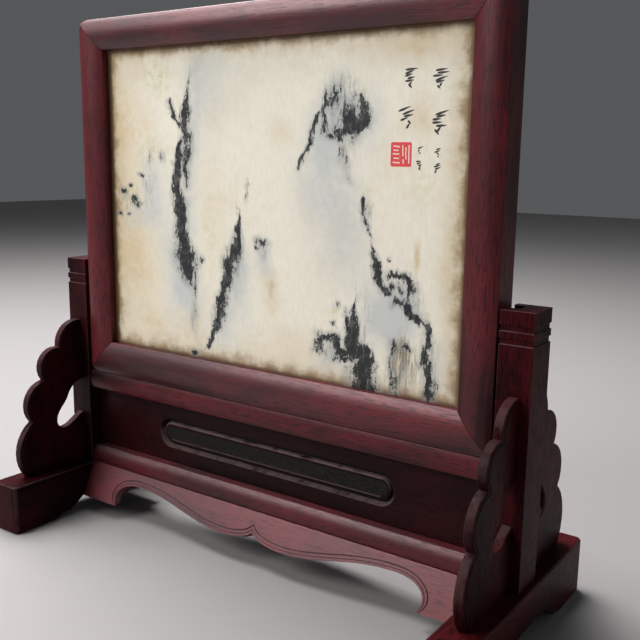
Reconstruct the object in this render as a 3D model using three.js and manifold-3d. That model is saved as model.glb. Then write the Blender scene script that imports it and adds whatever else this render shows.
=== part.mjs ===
// Marble table screen: a marble slab in a mitred rosewood frame that slides down into its stand.
// Millimetres, +Z up. The front faces -Y, and the origin is on the ground under the middle.

import * as THREE from "three";
import { mergeVertices } from "three/addons/utils/BufferGeometryUtils.js";
import Module from "manifold-3d";

const wasm = await Module();
wasm.setup();

// Driving dimensions: whole object
const OVERALL_HEIGHT = 360.5;
const GAP = 0.3;
const OVERCUT = 2;

// Driving dimensions: frame and slab
const FRAME_WIDTH = 327;
const FRAME_BACK_Y = 7.7;
const FRAME_SIGHT_ARRIS_Y = -9.1;
const FRAME_OUTER_ARRIS_Y = -10.4;
const FRAME_CROWN = 3.3;
const FRAME_CORNER_RADIUS = 9;
const STILE_FACE = 21.6;
const TOP_RAIL_FACE = 20.6;
const BOTTOM_RAIL_FACE = 23.6;
const SLAB_FRONT_Y = -4;
const SLAB_THICKNESS = 8;
const SLAB_GROOVE_DEPTH = 4.5;
const TONGUE_LENGTH = 58;

// Driving dimensions: feet and posts
const FOOT_LENGTH = 165;
const FOOT_WIDTH = 25;
const FOOT_HEIGHT = 35.5;
const FOOT_CORNER_RADIUS = 4;
const FOOT_EDGE = 1.6;
const FOOT_PAD_END = 48.5;
const FOOT_STEP = { reach: 36, height: 3.7 };
const FOOT_ARCH = { reach: 13, height: 14 };
const FOOT_CENTRE_X = 176.2;
const POST_CENTRE_X = 175.2;
const POST_WIDTH = 19.7;
const POST_DEPTH = 24;
const POST_TOP = 192.4;
const POST_HEAD = 8.2;
const CHANNEL_HEIGHT = 3.1;
const CHANNEL_PITCH = 7.1;
const CHANNEL_DEPTH = 0.7;
const SLOT_FRONT_Y = -4;
const SLOT_WIDTH = 11;
const SLOT_DEPTH = 7.2;

// Driving dimensions: rails and waist panel
const RAIL_CROWN = 1.3;
const UPPER_RAIL_BOTTOM = 94.7;
const UPPER_RAIL_TOP = 108.3;
const UPPER_RAIL_ARRIS_Y = 9.9;
const RAIL_EDGE = 0.5;
const LOWER_RAIL_BOTTOM = 36.5;
const LOWER_RAIL_ARRIS = 48.4;
const LOWER_RAIL_ARRIS_Y = 7.9;
const LOWER_RAIL_TOP = 49.6;
const LOWER_RAIL_BASE_Y = 11.2;
const PANEL_FRONT_Y = -2.5;
const PANEL_THICKNESS = 7;
const PANEL_TONGUE = 3;

// Driving dimensions: the long sunk panel on the waist, with round ends
const RESERVE_LENGTH = 199.2;
const RESERVE_HEIGHT = 21.5;
const RESERVE_MIDDLE = 70.9;
const RESERVE_DEPTH = 3.4;
const RESERVE_WALL = 1.5;
const BEAD_START = 3;
const BEAD_HEIGHT = 2.5;
const BEAD_OUTER_SIDE = 1.8;
const BEAD_CREST = 0.4;
const BEAD_INNER_SIDE = 1.8;
const RESERVE_FLOOR_DROP = 1.3;

// Driving dimensions: aprons, measured down their slope
const APRON_TOP_Y = -11.9;
const APRON_TOP = 36.2;
const APRON_FALL = 27;
const APRON_LEAN = THREE.MathUtils.degToRad(25.1);
const APRON_THICKNESS = 5.5;
const APRON_CUSP = 14;
const APRON_LOBE = { x: 25.6, fall: 20.4 };
const APRON_ARCH = { x: 109, fall: 8.8 };
const APRON_SIDE = { x: 130.2, fall: 20.7 };
const APRON_TIP_X = 128;
const APRON_TIP_TAPER = 9;
const APRON_GROOVES = [
  { inset: 1.4, width: 0.6, depth: 0.4 },
  { inset: 3.5, width: 0.8, depth: 0.7 },
];

// Driving dimensions: spandrels, as points [reach from the middle, height] where the lobes meet
const SPANDREL_THICKNESS = 6;
const SPANDREL_TOP = 146.5;
const SPANDREL_CUSPS = [[32, 128.3], [45.8, 105.3], [57.5, 76]];
const SPANDREL_FOOT_REACH = 63.5;
const SPANDREL_BULGES = [6.3, 9.1, 9.4, 9];
const SPANDREL_GROOVE = { inset: 1.8, width: 0.8, depth: 0.5 };
const HOLE_TOP = 99.8;
const HOLE_NECK = [25.3, 89.8];
const HOLE_BELLY = [35.9, 73.2];
const HOLE_BOTTOM = [29.5, 66];
const HOLE_SILL = 74.5;

// Round stretches, in segments
const CROWN_SEGMENTS = 8;
const CORNER_SEGMENTS = 6;
const LOBE_SEGMENTS = 9;
const CURVE_SEGMENTS = 7;
const ROUND_END_SEGMENTS = 10;

// Sizes worked out from the driving dimensions
const FRAME_BOTTOM = UPPER_RAIL_TOP + GAP;
const SIGHT_HALF_WIDTH = FRAME_WIDTH / 2 - STILE_FACE;
const SIGHT_BOTTOM = FRAME_BOTTOM + BOTTOM_RAIL_FACE;
const SIGHT_TOP = OVERALL_HEIGHT - TOP_RAIL_FACE;
const POST_BASE = FOOT_HEIGHT + GAP;
const POST_INNER_X = POST_CENTRE_X - POST_WIDTH / 2;
const FOOT_INNER_X = FOOT_CENTRE_X - FOOT_WIDTH / 2;
const SPANDREL_START = POST_DEPTH / 2 + GAP;

const rosewood = () => new THREE.MeshStandardMaterial({ color: 0x4c1a1c, roughness: 0.38, metalness: 0 });
const darkRosewood = () => new THREE.MeshStandardMaterial({ color: 0x2c1214, roughness: 0.45, metalness: 0 });
const marble = () => new THREE.MeshStandardMaterial({ color: 0xe6dfcd, roughness: 0.3, metalness: 0 });

// Closed geometry to solid and back

function toSolid(geometry) {
  geometry.deleteAttribute("normal");
  geometry.deleteAttribute("uv");
  const merged = mergeVertices(geometry, 1e-4);
  const vertProperties = new Float32Array(merged.attributes.position.array);
  const triVerts = new Uint32Array(merged.index.array);
  return new wasm.Manifold(new wasm.Mesh({ numProp: 3, vertProperties, triVerts }));
}

function toGeometry(solid) {
  const { vertProperties, triVerts } = solid.getMesh();
  const geometry = new THREE.BufferGeometry();
  geometry.setAttribute("position", new THREE.BufferAttribute(vertProperties, 3));
  geometry.setIndex(new THREE.BufferAttribute(triVerts, 1));
  geometry.computeVertexNormals();
  return geometry;
}

// Box between two corners
function box([x0, y0, z0], [x1, y1, z1]) {
  const geometry = new THREE.BoxGeometry(x1 - x0, y1 - y0, z1 - z0);
  geometry.translate((x0 + x1) / 2, (y0 + y1) / 2, (z0 + z1) / 2);
  return toSolid(geometry);
}

// Outline of Vector2 points pushed along a direction: its x and y run along the directions u and v
function prism(points, length, { origin, u, v }) {
  const geometry = new THREE.ExtrudeGeometry(new THREE.Shape(points), { depth: length, bevelEnabled: false });
  const along = new THREE.Vector3().crossVectors(u, v);
  geometry.applyMatrix4(new THREE.Matrix4().makeBasis(u, v, along).setPosition(origin));
  return toSolid(geometry);
}

const X = new THREE.Vector3(1, 0, 0);
const Y = new THREE.Vector3(0, 1, 0);
const Z = new THREE.Vector3(0, 0, 1);
const point = (x, y) => new THREE.Vector2(x, y);

// Planes of outlines: seen from the right (y, z), pushed along +X, and from the front (x, z), pushed along -Y
const sidePlane = (x) => ({ origin: new THREE.Vector3(x, 0, 0), u: Y, v: Z });
const frontPlane = (y) => ({ origin: new THREE.Vector3(0, y, 0), u: X, v: Z });

// Arc from one point to another that stands off its chord by the bulge, to the left where it is positive
function arc(start, end, bulge, segments) {
  const half = start.distanceTo(end) / 2;
  const rise = Math.abs(bulge);
  const radius = (half * half + rise * rise) / (2 * rise);
  const along = end.clone().sub(start).normalize();
  const away = point(-along.y, along.x).multiplyScalar(Math.sign(bulge));
  const centre = start.clone().add(end).multiplyScalar(0.5).addScaledVector(away, rise - radius);
  const sweep = Math.asin(half / radius);
  return Array.from({ length: segments + 1 }, (_, i) => {
    const angle = sweep * ((2 * i) / segments - 1);
    return centre
      .clone()
      .addScaledVector(away, radius * Math.cos(angle))
      .addScaledVector(along, radius * Math.sin(angle));
  });
}

function curve(start, handle1, handle2, end, segments = CURVE_SEGMENTS) {
  return new THREE.CubicBezierCurve(start, handle1, handle2, end).getPoints(segments);
}

// Joins stretches of a path that share their end points
function join(...stretches) {
  return stretches.flatMap((stretch, i) => (i === 0 ? stretch : stretch.slice(1)));
}

// Path moved sideways, to its right, by a distance given for each point
function inset(path, distanceAt) {
  return path.map((p, i) => {
    const before = path[Math.max(i - 1, 0)];
    const after = path[Math.min(i + 1, path.length - 1)];
    const into = (i > 0 ? p.clone().sub(before) : after.clone().sub(p)).normalize();
    const out = (i < path.length - 1 ? after.clone().sub(p) : into.clone()).normalize();
    const side = point(into.y + out.y, -into.x - out.x).normalize();
    const stretch = Math.max(side.dot(point(into.y, -into.x)), 0.4);
    return p.clone().addScaledVector(side, distanceAt(i) / stretch);
  });
}

// Band of even width that follows a path, as a closed outline
function band(path, { inset: near, width }, scaleAt = () => 1) {
  const nearSide = inset(path, (i) => near * scaleAt(i));
  const farSide = inset(path, (i) => (near + width) * scaleAt(i));
  return [...nearSide, ...farSide.reverse()];
}

// Rectangle with round corners, centred
function roundedRectangle(width, height, radius, segments) {
  const corners = [
    [1, 1, 0],
    [-1, 1, 1],
    [-1, -1, 2],
    [1, -1, 3],
  ];
  return corners.flatMap(([sideX, sideY, quarter]) =>
    Array.from({ length: segments + 1 }, (_, i) => {
      const angle = (Math.PI / 2) * (quarter + i / segments);
      return point(
        sideX * (width / 2 - radius) + radius * Math.cos(angle),
        sideY * (height / 2 - radius) + radius * Math.sin(angle),
      );
    }),
  );
}

// Frame

// Cross section of a frame member: x runs from the sight edge outwards, y is the depth
function frameSection(face) {
  const slabBack = SLAB_FRONT_Y + SLAB_THICKNESS;
  const crown = arc(
    point(0, FRAME_SIGHT_ARRIS_Y),
    point(face, FRAME_OUTER_ARRIS_Y),
    -FRAME_CROWN,
    CROWN_SEGMENTS,
  );
  return [
    ...crown,
    point(face, FRAME_BACK_Y),
    point(0, FRAME_BACK_Y),
    point(0, slabBack + GAP),
    point(SLAB_GROOVE_DEPTH, slabBack + GAP),
    point(SLAB_GROOVE_DEPTH, SLAB_FRONT_Y - GAP),
    point(0, SLAB_FRONT_Y - GAP),
  ];
}

// Whole frame outline with its round corners, as a block that every member is cut from
function frameBlock() {
  const outline = roundedRectangle(
    FRAME_WIDTH,
    OVERALL_HEIGHT - FRAME_BOTTOM,
    FRAME_CORNER_RADIUS,
    CORNER_SEGMENTS,
  );
  const middle = (OVERALL_HEIGHT + FRAME_BOTTOM) / 2;
  const raised = outline.map((p) => point(p.x, p.y + middle));
  return prism(raised, 2 * FRAME_WIDTH, frontPlane(FRAME_WIDTH));
}

// Keeps the part of a member between its two mitres; corners are given from the sight to the outer edge
function mitred(member, corners) {
  const outline = corners.map(([x, z]) => point(x, z));
  return member.intersect(prism(outline, 2 * FRAME_WIDTH, frontPlane(FRAME_WIDTH))).intersect(frameBlock());
}

function frameRail(top) {
  const outward = top ? 1 : -1;
  const face = top ? TOP_RAIL_FACE : BOTTOM_RAIL_FACE;
  const sight = top ? SIGHT_TOP : SIGHT_BOTTOM;
  const u = Z.clone().multiplyScalar(outward);
  const origin = new THREE.Vector3((outward * FRAME_WIDTH) / 2, 0, sight);
  const blank = prism(frameSection(face), FRAME_WIDTH, { origin, u, v: Y });
  const edge = sight + outward * face;
  const play = GAP / 2;
  return mitred(blank, [
    [-SIGHT_HALF_WIDTH + play, sight],
    [SIGHT_HALF_WIDTH - play, sight],
    [FRAME_WIDTH / 2 - play, edge],
    [-FRAME_WIDTH / 2 + play, edge],
  ]);
}

// Stile with the low tongue that slides down the slot in its post
function frameStile(side) {
  const u = X.clone().multiplyScalar(side);
  const start = side > 0 ? FRAME_BOTTOM : OVERALL_HEIGHT;
  const origin = new THREE.Vector3(side * SIGHT_HALF_WIDTH, 0, start);
  const blank = prism(frameSection(STILE_FACE), OVERALL_HEIGHT - FRAME_BOTTOM, { origin, u, v: Y });
  const outer = (side * FRAME_WIDTH) / 2;
  const sight = side * SIGHT_HALF_WIDTH;
  const play = GAP / 2;
  const stile = mitred(blank, [
    [sight, SIGHT_BOTTOM + play],
    [outer, FRAME_BOTTOM + play],
    [outer, OVERALL_HEIGHT - play],
    [sight, SIGHT_TOP - play],
  ]);
  const reach = POST_INNER_X + SLOT_DEPTH - 2 * GAP;
  const [left, right] = [outer - side, side * reach].sort((a, b) => a - b);
  const clearance = 2 * GAP;
  const foot = FRAME_BOTTOM + FRAME_CORNER_RADIUS;
  const tongue = box(
    [left, SLOT_FRONT_Y + clearance, foot],
    [right, SLOT_FRONT_Y + SLOT_WIDTH - clearance, foot + TONGUE_LENGTH],
  );
  return stile.add(tongue);
}

function marbleSlab() {
  const reach = SLAB_GROOVE_DEPTH - GAP;
  const halfWidth = SIGHT_HALF_WIDTH + reach;
  return box(
    [-halfWidth, SLAB_FRONT_Y, SIGHT_BOTTOM - reach],
    [halfWidth, SLAB_FRONT_Y + SLAB_THICKNESS, SIGHT_TOP + reach],
  );
}

// Stand

// Underside of the foot from its rear pad to the front one: a low step, then the arch
function footArch() {
  const step = point(FOOT_STEP.reach, FOOT_STEP.height);
  const crown = point(FOOT_ARCH.reach, FOOT_ARCH.height);
  const half = join(
    arc(point(FOOT_PAD_END, 0), step, -1.2, 4),
    curve(step, point(29, 5), point(24, crown.y), crown),
  );
  const mirrored = half.map((p) => point(-p.x, p.y)).reverse();
  return [point(FOOT_PAD_END, -OVERCUT), ...half, ...mirrored, point(-FOOT_PAD_END, -OVERCUT)];
}

// Foot: a long eased block on two pads
function foot() {
  const shape = new THREE.Shape(
    roundedRectangle(
      FOOT_WIDTH - 2 * FOOT_EDGE,
      FOOT_LENGTH - 2 * FOOT_EDGE,
      FOOT_CORNER_RADIUS - FOOT_EDGE,
      CORNER_SEGMENTS - 2,
    ),
  );
  const geometry = new THREE.ExtrudeGeometry(shape, {
    depth: FOOT_HEIGHT - 2 * FOOT_EDGE,
    bevelThickness: FOOT_EDGE,
    bevelSize: FOOT_EDGE,
    bevelSegments: 2,
  });
  geometry.translate(0, 0, FOOT_EDGE);
  return toSolid(geometry).subtract(prism(footArch(), 2 * FOOT_WIDTH, sidePlane(-FOOT_WIDTH)));
}

// Ring cut round the post, of the channel's depth
function channel(top) {
  const bottom = top - CHANNEL_HEIGHT;
  const halfWidth = POST_WIDTH / 2;
  const halfDepth = POST_DEPTH / 2;
  const outside = box(
    [-halfWidth - OVERCUT, -halfDepth - OVERCUT, bottom],
    [halfWidth + OVERCUT, halfDepth + OVERCUT, top],
  );
  const core = box(
    [-halfWidth + CHANNEL_DEPTH, -halfDepth + CHANNEL_DEPTH, bottom - OVERCUT],
    [halfWidth - CHANNEL_DEPTH, halfDepth - CHANNEL_DEPTH, top + OVERCUT],
  );
  return outside.subtract(core);
}

// Post about its own middle: two channels near the head, and the slot for the frame on the inner side
function post(side) {
  const halfWidth = POST_WIDTH / 2;
  const halfDepth = POST_DEPTH / 2;
  const blank = box([-halfWidth, -halfDepth, POST_BASE], [halfWidth, halfDepth, POST_TOP]);
  const firstChannel = POST_TOP - POST_HEAD;
  const slotEnds = [-side * (halfWidth + OVERCUT), -side * (halfWidth - SLOT_DEPTH)].sort((a, b) => a - b);
  const slot = box(
    [slotEnds[0], SLOT_FRONT_Y, UPPER_RAIL_TOP],
    [slotEnds[1], SLOT_FRONT_Y + SLOT_WIDTH, POST_TOP + OVERCUT],
  );
  return blank
    .subtract(channel(firstChannel))
    .subtract(channel(firstChannel - CHANNEL_PITCH))
    .subtract(slot);
}

// Rail between the posts, from its section (y, z)
function rail(section) {
  const half = POST_INNER_X - GAP;
  return prism(section, 2 * half, sidePlane(-half));
}

// Groove for the waist panel, as section points from the front to the back
function panelGroove(mouth, bottom) {
  const front = PANEL_FRONT_Y - GAP;
  const back = PANEL_FRONT_Y + PANEL_THICKNESS + GAP;
  return [point(front, mouth), point(front, bottom), point(back, bottom), point(back, mouth)];
}

function upperRail() {
  const arris = UPPER_RAIL_TOP - RAIL_EDGE;
  const front = arc(
    point(-UPPER_RAIL_ARRIS_Y, arris),
    point(-UPPER_RAIL_ARRIS_Y, UPPER_RAIL_BOTTOM),
    -RAIL_CROWN,
    CROWN_SEGMENTS,
  );
  const back = front.map((p) => point(-p.x, p.y)).reverse();
  return rail([
    point(-UPPER_RAIL_ARRIS_Y + RAIL_EDGE, UPPER_RAIL_TOP),
    ...front,
    ...panelGroove(UPPER_RAIL_BOTTOM, UPPER_RAIL_BOTTOM + PANEL_TONGUE + GAP),
    ...back,
    point(UPPER_RAIL_ARRIS_Y - RAIL_EDGE, UPPER_RAIL_TOP),
  ]);
}

function lowerRail() {
  const front = arc(
    point(-LOWER_RAIL_ARRIS_Y, LOWER_RAIL_ARRIS),
    point(-LOWER_RAIL_BASE_Y, LOWER_RAIL_BOTTOM),
    -RAIL_CROWN,
    CROWN_SEGMENTS,
  );
  const back = front.map((p) => point(-p.x, p.y)).reverse();
  return rail([
    ...front,
    ...back,
    ...panelGroove(LOWER_RAIL_TOP, LOWER_RAIL_TOP - PANEL_TONGUE - GAP).reverse(),
  ]);
}

// Block with round ends, bevelled at its front plane, that stands in from the reserve's outline
function stadium(shrink, front, bevel) {
  const height = RESERVE_HEIGHT - 2 * (shrink + bevel.width);
  const length = RESERVE_LENGTH - 2 * (shrink + bevel.width);
  const shape = new THREE.Shape(roundedRectangle(length, height, height / 2 - 0.01, ROUND_END_SEGMENTS));
  const geometry = new THREE.ExtrudeGeometry(shape, {
    depth: PANEL_THICKNESS,
    bevelThickness: bevel.depth,
    bevelSize: bevel.width,
    bevelSegments: bevel.segments,
  });
  geometry.translate(0, 0, -PANEL_THICKNESS - bevel.depth);
  geometry.rotateX(Math.PI / 2);
  geometry.translate(0, front, RESERVE_MIDDLE);
  return toSolid(geometry);
}

// Same block turned round: a pocket whose sloping wall narrows to its bottom
function stadiumPocket(shrink, bottom, bevel) {
  return stadium(shrink, 0, { ...bevel, segments: 1 }).mirror([0, 1, 0]).translate([0, bottom, 0]);
}

// Waist panel with its sunk reserve: a pocket, a raised bead along its wall and a sunk floor
function waistPanel() {
  const half = POST_INNER_X - GAP;
  const board = box(
    [-half, PANEL_FRONT_Y, LOWER_RAIL_TOP - PANEL_TONGUE],
    [half, PANEL_FRONT_Y + PANEL_THICKNESS, UPPER_RAIL_BOTTOM + PANEL_TONGUE],
  );
  const bottom = PANEL_FRONT_Y + RESERVE_DEPTH;
  const crest = bottom - BEAD_HEIGHT;
  const beadSide = { width: BEAD_OUTER_SIDE, depth: BEAD_HEIGHT, segments: 3 };
  const floorStart = BEAD_START + BEAD_OUTER_SIDE + BEAD_CREST;
  const floorSide = { width: BEAD_INNER_SIDE, depth: RESERVE_FLOOR_DROP };
  return board
    .subtract(stadiumPocket(0, bottom, { width: RESERVE_WALL, depth: RESERVE_DEPTH }))
    .add(stadium(BEAD_START, crest, beadSide).intersect(board))
    .subtract(stadiumPocket(floorStart, crest + RESERVE_FLOOR_DROP, floorSide));
}

// Lower edge of the apron from its left tip to its right tip: x and the fall down the slope as -y
function apronEdge() {
  const cusp = point(0, -APRON_CUSP);
  const lobe = point(APRON_LOBE.x, -APRON_LOBE.fall);
  const arch = point(APRON_ARCH.x, -APRON_ARCH.fall);
  const sideways = point(APRON_SIDE.x, -APRON_SIDE.fall);
  const tip = point(APRON_TIP_X, -APRON_FALL);
  const swell = (arch.x - lobe.x) / 3;
  const archRadius = sideways.x - arch.x;
  const half = join(
    curve(cusp, point(3, -17.6), point(lobe.x * 0.55, lobe.y), lobe),
    curve(lobe, point(lobe.x + swell, lobe.y), point(arch.x - 1.2 * swell, arch.y), arch, CURVE_SEGMENTS + 1),
    curve(arch, point(arch.x + 0.6 * archRadius, arch.y), point(sideways.x, sideways.y + 7.5), sideways),
    curve(sideways, point(sideways.x, sideways.y - 2.2), point(tip.x + 1.4, tip.y + 1.8), tip, 3),
  );
  const mirrored = half.map((p) => point(-p.x, p.y)).reverse();
  return join(mirrored, half);
}

// Apron about the middle of its top front edge: a leaning board, cut along its lower edge
function apron(grooved) {
  const slope = new THREE.Vector3(0, Math.sin(APRON_LEAN), Math.cos(APRON_LEAN));
  const half = FOOT_INNER_X - GAP;
  const back = APRON_THICKNESS / Math.cos(APRON_LEAN);
  const baseY = -APRON_FALL * slope.y;
  const baseZ = -APRON_FALL * slope.z;
  const section = [point(0, 0), point(baseY, baseZ), point(baseY + back, baseZ), point(back, 0)];
  const board = prism(section, 2 * half, sidePlane(-half));
  const normal = new THREE.Vector3().crossVectors(X, slope);
  const slopePlane = (depth) => ({ origin: normal.clone().multiplyScalar(-depth), u: X, v: slope });
  const edge = apronEdge();
  const below = -APRON_FALL - 4 * OVERCUT;
  const opening = [point(-APRON_TIP_X, below), ...edge, point(APRON_TIP_X, below)];
  const through = 4 * APRON_THICKNESS;
  const cut = board.subtract(prism(opening, 2 * through, slopePlane(through)));
  if (!grooved) return cut;
  const lengths = edge.map((p, i) => (i === 0 ? 0 : p.distanceTo(edge[i - 1])));
  const travelled = lengths.map((_, i) => lengths.slice(0, i + 1).reduce((a, b) => a + b, 0));
  const whole = travelled[travelled.length - 1];
  const taper = (i) => {
    const toTip = Math.min(travelled[i], whole - travelled[i]);
    return THREE.MathUtils.lerp(0.3, 1, THREE.MathUtils.smoothstep(toTip, 0, APRON_TIP_TAPER));
  };
  const leftwards = [...edge].reverse();
  return APRON_GROOVES.reduce((piece, groove) => {
    const outline = band(leftwards, groove, taper);
    return piece.subtract(prism(outline, groove.depth + OVERCUT, slopePlane(groove.depth)));
  }, cut);
}

// Scalloped outer edge of a spandrel from its top to the foot: x is the reach from the middle, y the height
function spandrelEdge() {
  const ends = [
    point(SPANDREL_START, SPANDREL_TOP),
    ...SPANDREL_CUSPS.map(([reach, height]) => point(reach, height)),
    point(SPANDREL_FOOT_REACH, POST_BASE),
  ];
  return join(...SPANDREL_BULGES.map((bulge, i) => arc(ends[i], ends[i + 1], bulge, LOBE_SEGMENTS)));
}

// Drop-shaped hole beside the post, from its top to its sill
function spandrelHole() {
  const neck = point(...HOLE_NECK);
  const belly = point(...HOLE_BELLY);
  const bottom = point(...HOLE_BOTTOM);
  return join(
    curve(point(SPANDREL_START, HOLE_TOP), point(17.5, HOLE_TOP), point(23, 95.5), neck),
    curve(neck, point(27.6, 84.1), point(35.4, 80), belly),
    curve(belly, point(36.4, 68.8), point(33.4, bottom.y), bottom, 5),
    curve(bottom, point(24, bottom.y), point(18, 72), point(SPANDREL_START, HOLE_SILL), 5),
  );
}

// Spandrel in front of its post, about the post's middle plane
function spandrel(grooved) {
  const half = SPANDREL_THICKNESS / 2;
  const plane = (x) => ({ origin: new THREE.Vector3(x, 0, 0), u: Y.clone().negate(), v: Z });
  const edge = spandrelEdge();
  const outline = [...edge, point(SPANDREL_START, POST_BASE)];
  const hole = [point(SPANDREL_START - OVERCUT, HOLE_TOP), ...spandrelHole()];
  hole.push(point(SPANDREL_START - OVERCUT, HOLE_SILL));
  const plate = prism(outline, SPANDREL_THICKNESS, plane(half));
  const cut = plate.subtract(prism(hole, 2 * SPANDREL_THICKNESS, plane(SPANDREL_THICKNESS)));
  if (!grooved) return cut;
  const first = point(SPANDREL_START - OVERCUT, SPANDREL_TOP);
  const last = point(SPANDREL_FOOT_REACH, POST_BASE - OVERCUT);
  const line = band([first, ...edge.slice(1, -1), edge[edge.length - 1], last], SPANDREL_GROOVE);
  const deep = SPANDREL_GROOVE.depth;
  return cut
    .subtract(prism(line, deep + OVERCUT, plane(half + OVERCUT)))
    .subtract(prism(line, deep + OVERCUT, plane(deep - half)));
}

// Assembly

function add(parent, name, solid, material, [x, y, z] = [0, 0, 0]) {
  const mesh = new THREE.Mesh(toGeometry(solid), material);
  mesh.name = name;
  mesh.position.set(x, y, z);
  parent.add(mesh);
}

function screen() {
  const group = new THREE.Group();
  add(group, "marble_slab", marbleSlab(), marble());
  add(group, "frame_top_rail", frameRail(true), rosewood());
  add(group, "frame_bottom_rail", frameRail(false), rosewood());
  add(group, "frame_left_stile", frameStile(-1), rosewood());
  add(group, "frame_right_stile", frameStile(1), rosewood());
  return group;
}

// Apron and spandrels of one face of the stand; the same group turned round makes the other face
function standFace(face, grooved) {
  const group = new THREE.Group();
  const sides = face === "front" ? ["left", "right"] : ["right", "left"];
  sides.forEach((side, i) => {
    const x = (2 * i - 1) * FOOT_CENTRE_X;
    add(group, `${face}_${side}_spandrel`, spandrel(grooved), darkRosewood(), [x, 0, 0]);
  });
  add(group, `${face}_apron`, apron(grooved), rosewood(), [0, APRON_TOP_Y, APRON_TOP]);
  return group;
}

function stand() {
  const group = new THREE.Group();
  for (const [side, direction] of [["left", -1], ["right", 1]]) {
    add(group, `${side}_foot`, foot(), rosewood(), [direction * FOOT_CENTRE_X, 0, 0]);
    add(group, `${side}_post`, post(direction), darkRosewood(), [direction * POST_CENTRE_X, 0, 0]);
  }
  add(group, "upper_rail", upperRail(), rosewood());
  add(group, "lower_rail", lowerRail(), rosewood());
  add(group, "waist_panel", waistPanel(), darkRosewood());
  const rear = standFace("rear", false);
  rear.rotation.z = Math.PI;
  group.add(standFace("front", true), rear);
  return group;
}

const group = new THREE.Group();
group.add(screen(), stand());

export default group;
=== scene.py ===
"""Marble table screen: a veined marble slab in a rosewood frame and stand, dressed over its solids."""

import math
import random

import bmesh
import bpy
from mathutils import Matrix, Vector


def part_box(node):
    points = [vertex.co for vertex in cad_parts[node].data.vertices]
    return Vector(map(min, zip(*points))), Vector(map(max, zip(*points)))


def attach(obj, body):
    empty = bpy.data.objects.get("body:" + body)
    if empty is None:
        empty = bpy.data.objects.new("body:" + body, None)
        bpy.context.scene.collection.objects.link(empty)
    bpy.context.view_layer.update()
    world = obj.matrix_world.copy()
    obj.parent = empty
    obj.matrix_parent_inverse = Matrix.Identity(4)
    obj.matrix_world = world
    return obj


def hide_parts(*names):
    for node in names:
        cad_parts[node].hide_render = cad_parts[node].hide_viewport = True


bl_info = {
    "name": "Marble Table Screen",
    "version": (1, 0, 0),
    "blender": (4, 5, 0),
    "location": "View3D > Sidebar > Table Screen",
    "description": "Models and finishes a marble table screen over its solids",
    "category": "Object",
}

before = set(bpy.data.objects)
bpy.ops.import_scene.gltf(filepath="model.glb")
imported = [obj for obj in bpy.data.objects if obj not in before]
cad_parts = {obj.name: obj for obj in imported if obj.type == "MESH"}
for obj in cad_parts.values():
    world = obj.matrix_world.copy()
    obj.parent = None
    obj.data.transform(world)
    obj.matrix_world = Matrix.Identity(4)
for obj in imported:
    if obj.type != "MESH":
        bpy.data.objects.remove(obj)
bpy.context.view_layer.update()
MM = 0.001


def colour_property(name, description, default):
    return bpy.props.FloatVectorProperty(
        name=name, description=description, default=default, subtype="COLOR", size=3, min=0, max=1
    )


def length_property(name, description, default):
    return bpy.props.FloatProperty(
        name=name, description=description, default=default * MM, subtype="DISTANCE", unit="LENGTH", min=0
    )


# Values that a user would change


class WoodSettings(bpy.types.PropertyGroup):
    """Colours and edges of the rosewood"""

    heart: colour_property("Heartwood", "Main reddish brown of the rosewood", (0.072, 0.0105, 0.0125))
    streak: colour_property("Dark streaks", "Blackish streaks along the grain", (0.016, 0.0034, 0.0040))
    blush: colour_property("Red figure", "Redder patches of the rosewood", (0.150, 0.0130, 0.0200))
    sheen: colour_property("Sheen", "Tint of the polish", (1.0, 0.66, 0.71))
    # A painted highlight: paler colour on the upward-facing arrises and rims
    edge_highlight: colour_property("Worn edge", "Paler wood where the polish is rubbed", (0.11, 0.078, 0.078))
    # Painted shade in the grooves and on the sunk floor
    cut: colour_property("Cut ground", "Dark ground of grooves and the sunk floor", (0.0055, 0.0065, 0.0055))
    arris: length_property("Arris radius", "How far the long arrises are rounded", 0.8)
    rim: length_property("Rim radius", "How far the spandrels' rims are rounded", 1.1)
    joint: length_property("Joint edge", "How far edges at joints are eased", 0.15)
    fine_edge: length_property("Fine edge", "How far edges beside cut lines are eased", 0.16)


class MarbleSettings(bpy.types.PropertyGroup):
    """Colours of the slab and its marks"""

    ground: colour_property("Ground", "Cream ground of the marble", (0.90, 0.86, 0.74))
    tan: colour_property("Tan tint", "Warm tint of the ground", (0.72, 0.59, 0.38))
    wash: colour_property("Grey wash", "Bluish grey clouds in the marble", (0.58, 0.615, 0.61))
    vein: colour_property("Vein", "Black of the veins", (0.007, 0.009, 0.012))
    # The stain colour, much darkened, also paints the frame's shadow along the sight edges
    stain: colour_property("Edge stain", "Brown stain along the frame", (0.27, 0.165, 0.070))
    moss: colour_property("Moss tint", "Green yellow tint beside the veins", (0.62, 0.60, 0.28))
    ink: colour_property("Ink", "Ink in the inscription's strokes", (0.020, 0.018, 0.018))
    seal: colour_property("Seal red", "Red of the seal mark", (0.76, 0.060, 0.070))


class StageSettings(bpy.types.PropertyGroup):
    """Floor, light and camera"""

    floor: colour_property("Floor", "Pale floor under the object", (0.27, 0.268, 0.265))
    focal: bpy.props.FloatProperty(
        name="Focal length", description="Camera lens in millimetres", default=47.616, min=10
    )


GROUPS = {"screen_wood": WoodSettings, "screen_marble": MarbleSettings, "screen_stage": StageSettings}


def settings(name):
    return getattr(bpy.context.scene, name)


# Shaders


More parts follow.
